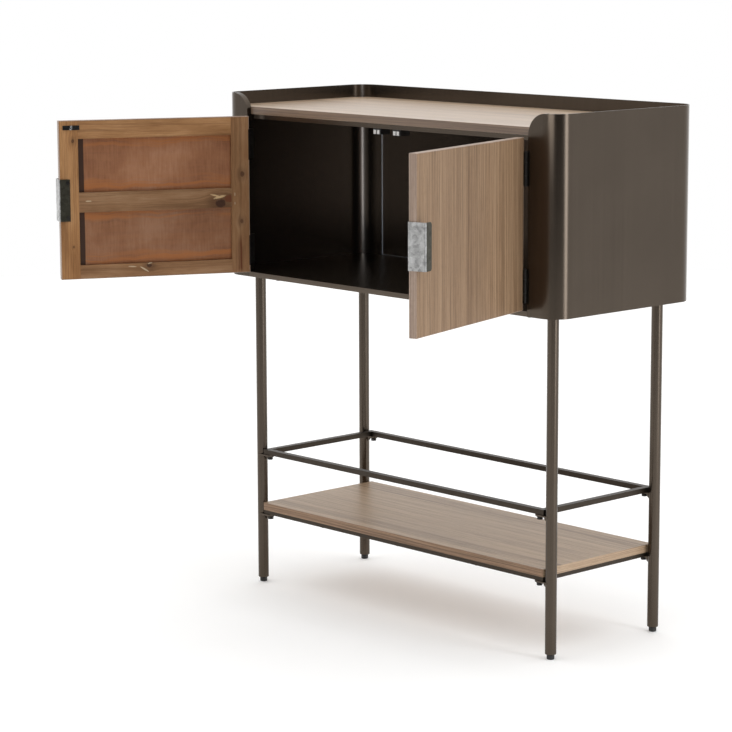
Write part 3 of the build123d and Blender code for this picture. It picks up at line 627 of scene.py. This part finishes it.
def build_surround():
    """White surround, darker round the bearing the camera stands at; what the camera sees itself is white."""
    world = bpy.data.worlds.new("surround")
    world.use_nodes = True
    tree = world.node_tree
    tree.nodes.clear()

    def add(kind, inputs=None, **settings):
        node = tree.nodes.new("ShaderNode" + kind)
        for key, value in settings.items():
            setattr(node, key, value)
        for key, value in (inputs or {}).items():
            if isinstance(value, bpy.types.NodeSocket):
                tree.links.new(value, node.inputs[key])
            else:
                node.inputs[key].default_value = value
        return node

    where = add("SeparateXYZ", {0: add("TexCoord").outputs["Generated"]}).outputs
    ahead = add("Math", {0: where[1], 1: -1.0}, operation="MULTIPLY").outputs[0]
    bearing = add("Math", {0: where[0], 1: ahead}, operation="ARCTAN2").outputs[0]
    turn = add("MapRange", {"Value": bearing, "From Min": -math.pi, "From Max": math.pi}).outputs[0]
    ring = add("ValToRGB", {"Fac": turn})
    band = ring.color_ramp
    while len(band.elements) < len(SURROUND_LEVELS):
        band.elements.new(0.5)
    for element, (degrees, level) in zip(band.elements, SURROUND_LEVELS):
        element.position = degrees / 360 + 0.5
        element.color = (level, level, level, 1.0)

    def climb(low_end, high_end):
        limits = {"Value": where[2], "From Min": low_end, "From Max": high_end}
        return add("MapRange", limits, interpolation_type="SMOOTHSTEP").outputs[0]

    wall = add("Mix", {"Factor": climb(*WALL_CLIMB)}, data_type="RGBA", blend_type="DARKEN")
    tree.links.new(ring.outputs["Color"], wall.inputs[6])
    wall.inputs[7].default_value = (*WALL_LIMIT, 1.0)
    dome = add("Mix", {"Factor": climb(*DOME_CLIMB)}, data_type="RGBA")
    tree.links.new(wall.outputs[2], dome.inputs[6])
    dome.inputs[7].default_value = (*DOME_COLOUR, 1.0)
    lit = add("Background", {"Color": dome.outputs[2], "Strength": 1.0})
    seen = add("Background", {"Color": (1.0, 1.0, 1.0, 1.0), "Strength": 1.0})
    direct = add("LightPath").outputs["Is Camera Ray"]
    both = add("MixShader", {0: direct, 1: lit.outputs[0], 2: seen.outputs[0]})
    add("OutputWorld", {"Surface": both.outputs[0]})
    bpy.context.scene.world = world


def lay_floor(radius=5.2, ring_count=12, spoke_count=96, drop=0.0002):
    """Round pale floor: rings of points closer together near the middle, a drop below the feet's pads."""
    rings = np.linspace(0.0, 1.0, ring_count + 1)[1:] ** 1.5 * radius
    angles = np.linspace(0.0, 2 * np.pi, spoke_count, endpoint=False)
    x = np.outer(rings, np.cos(angles)).ravel()
    y = np.outer(rings, np.sin(angles)).ravel()
    points = np.vstack([[0.0, 0.0, 0.0], np.column_stack([x, y, np.zeros_like(x)])])
    points[:, 2] = -drop
    spoke = np.arange(spoke_count)
    ahead = (spoke + 1) % spoke_count
    hub = np.column_stack([np.zeros_like(spoke), 1 + spoke, 1 + ahead])
    start = (1 + spoke_count * np.arange(ring_count - 1))[:, None]
    outer = start + spoke_count
    bands = np.stack([start + spoke, outer + spoke, outer + ahead, start + ahead], axis=-1).reshape(-1, 4)
    mesh = bpy.data.meshes.new("floor")
    mesh.from_pydata(points.tolist(), [], hub.tolist() + bands.tolist())
    floor = bpy.data.objects.new("floor", mesh)
    bpy.context.scene.collection.objects.link(floor)
    f = Finish("floor_paint")
    white = f.ramp(f.noise(f.place, 3.0, 3.0, 0.5), [(0.3, (0.89, 0.89, 0.89)), (0.7, (0.91, 0.91, 0.91))])
    glow = (1.0, 1.0, 1.0)
    paint = f.surface(Base_Color=white, Roughness=0.75, Emission_Color=glow, Emission_Strength=0.18)
    mesh.materials.append(paint)


# ---- finishes on every piece
# Widths of the softened arrises, in metres.
VENEER_ARRIS = 0.0002
HINGE_ARRIS = 0.00025
SHEET_ARRIS = 0.0003
BOARD_ARRIS = 0.0004
MOULDED_ARRIS = 0.0005
BAR_ARRIS = 0.0008
RIM_ARRIS = 0.0009

upright_bronze = bronze_metal("bronze_upright")
# The shell's copy paints a highlight along the cut edges of its back window.
shell_bronze = bronze_metal("bronze_shell", window=SHELL_WINDOW)
lengthwise_bronze = bronze_metal("bronze_lengthwise", along=(0.8, 420.0, 420.0))
dark_bronze = bronze_metal("bronze_dark", along=(210.0, 0.6, 210.0), tone=0.8)
# Painted light: a lighter copy of the bronze for the cabinet's floor pan, which lies in the dim interior.
pan_bronze_painted_light = bronze_metal("bronze_pan_painted_light", along=(0.8, 420.0, 420.0), tone=1.25, gloss=0.30)
bar_bronze = bronze_metal("bronze_bars", along=(60.0, 60.0, 60.0), tone=0.62, gloss=0.42)
blackened = black_metal("blackened_steel")
bright = bright_metal("bright_steel")
moulded = black_plastic("moulded_black")

for side in SIDES:
    soften("shell_" + side, RIM_ARRIS, shell_bronze, steps=3)
    soften("floor_channel_" + side, BOARD_ARRIS, dark_bronze)
    soften("catch_" + side, MOULDED_ARRIS, moulded)
    soften("hinge_leaves_" + side, HINGE_ARRIS, blackened)
for corner in CORNERS:
    soften("leg_" + corner, BOARD_ARRIS, upright_bronze)
    soften("foot_" + corner, BOARD_ARRIS, moulded)
soften("back_panel", SHEET_ARRIS, upright_bronze)
soften("top_plate", SHEET_ARRIS, lengthwise_bronze)
soften("floor_pan", SHEET_ARRIS, pan_bronze_painted_light)
soften("upper_rail", BAR_ARRIS, bar_bronze)
soften("shelf_frame", BAR_ARRIS, bar_bronze)

# The last number darkens each board's front edge strip, partly its own tone and partly painted shade.
for board, tones, seed, gloss, sheen, edge_tone_and_painted_shade in (
        ("top", TOP_TONES, 0.02, 0.27, 0.85, 0.39),
        ("shelf", SHELF_TONES, 0.31, 0.34, 0.45, 0.68)):
    node = "wood_" + board
    front = (low(node)[1] + 0.0006, edge_tone_and_painted_shade)
    veneer = lacquered_veneer(board + "_veneer", tones, grain="X", seed=seed, gloss=gloss, sheen=sheen,
                              front=front, half_length=high(node)[0])
    soften(node, BAR_ARRIS, veneer)

for side, boards in (("left", LEFT_BOARDS), ("right", RIGHT_BOARDS)):
    door = "door_" + side + "_"
    hand = SIDES[side]
    for number, (board, (grain, tint, knots, chips, streak)) in enumerate(boards.items()):
        seed = 3.1 * number + hand
        pine = knotty_pine(side + "_pine_" + board, side, grain, tint, seed, knots, chips, streak)
        soften(door + board, BOARD_ARRIS, pine)
    rail_low, rail_high = (corner[2] - DOOR_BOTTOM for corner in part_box(door + "middle_rail"))
    bottom_rail_top = high(door + "bottom_rail")[2] - DOOR_BOTTOM
    upper_flames = [(rail_high + 0.012, 0.020), (rail_high + 0.096, 0.012)]
    lower_flames = [(rail_low - 0.006, 0.014), (bottom_rail_top + 0.012, 0.016)]
    upper = red_plywood(side + "_plywood_upper", side, (1.0, 1.0, 1.0), 3.0, upper_flames)
    # The lower panel's darker tint is partly its own tone and partly painted shade, darker lower on the door.
    lower = red_plywood(side + "_plywood_lower", side, (0.82, 0.84, 0.86), 7.0, lower_flames)
    soften(door + "upper_panel", SHEET_ARRIS, upper)
    soften(door + "lower_panel", SHEET_ARRIS, lower)
    face = lacquered_veneer(side + "_door_veneer", DOOR_TONES, side, seed=0.1 * hand, gloss=0.40, sheen=0.25)
    band = lacquered_veneer(side + "_edge_veneer", EDGE_TONES, side, seed=0.4, gloss=0.4)
    soften(door + "skin", VENEER_ARRIS, face)
    soften(door + "edge_band", BOARD_ARRIS, band)
    soften(door + "handle", SHEET_ARRIS, galvanised_metal(side + "_zinc", side))
    soften(door + "strike_plate", SHEET_ARRIS, strike_metal(side + "_strike_steel", side))
    soften(door + "hinge_leaves", HINGE_ARRIS, blackened)

for name in ("back_screws", "frame_bolts", "leg_bolts", "shelf_screws", "hinge_screws", "hinge_pins_left",
             "hinge_pins_right", "door_left_hinge_screws", "door_right_hinge_screws",
             "door_left_handle_screws", "door_right_handle_screws"):
    soften(name, SHEET_ARRIS, blackened)
soften("leg_plugs", BOARD_ARRIS, moulded)
soften("catch_poles", SHEET_ARRIS, bright)

lay_floor()
build_surround()
softbox("strip", (3.35, 0.42, 0.05), bearing=277.0, size=(0.85, 2.3), radiance=5.2, tint=(0.97, 1.0, 1.04))
softbox("near_strip", (0.70, -1.17, 0.90), bearing=190.0, size=(0.58, 0.60), radiance=4.4,
        only=["shell_right"])
softbox("slot_strip", (1.75, -1.95, 0.05), bearing=225.0, size=(0.45, 2.0), radiance=7.5,
        tint=(0.84, 0.98, 1.18), only=["shell_left", "back_panel"])
aim_camera()
bpy.context.scene.view_settings.view_transform = "Standard"
